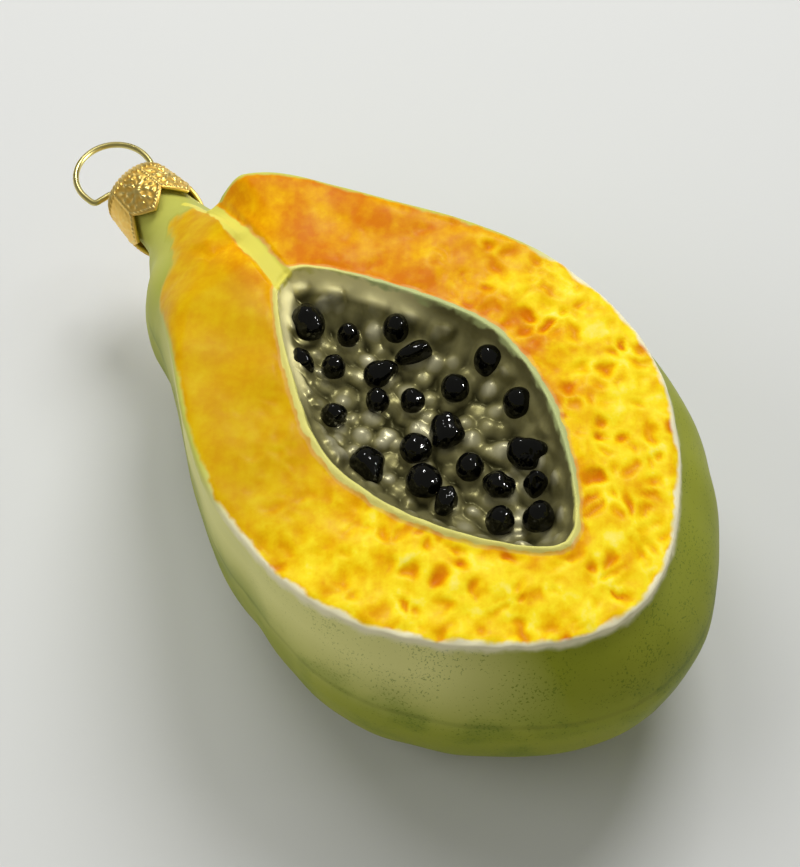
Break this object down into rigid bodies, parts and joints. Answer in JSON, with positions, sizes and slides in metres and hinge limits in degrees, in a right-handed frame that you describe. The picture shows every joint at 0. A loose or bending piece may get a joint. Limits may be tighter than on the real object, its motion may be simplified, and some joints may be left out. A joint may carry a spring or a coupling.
{
  "type": "papaya-shaped glass hanging ornament",
  "caption": "Blown-glass hanging ornament shaped as a halved fruit, with a seed cavity in its cut face, a crown cap on its neck and a spring-wire ring to hang it by.",
  "frame": {"origin": "centre of the bounding box at the base, where the ornament lies on its rounded back", "axes": "+Z out of the cut face, +Y along the body to the neck and its ring, +X across, to the right when the neck points away"},
  "size_m": [0.0662, 0.1238, 0.0396],
  "materials": {
    "painted_glass": "glossy painted and lacquered, opaque",
    "gilt_cap": "polished, embossed",
    "spring_wire": "polished"
  },
  "bodies": {
    "root": {"glass_body": "painted_glass", "cap": "gilt_cap", "hanger_wire": "spring_wire"}
  },
  "joints": []
}
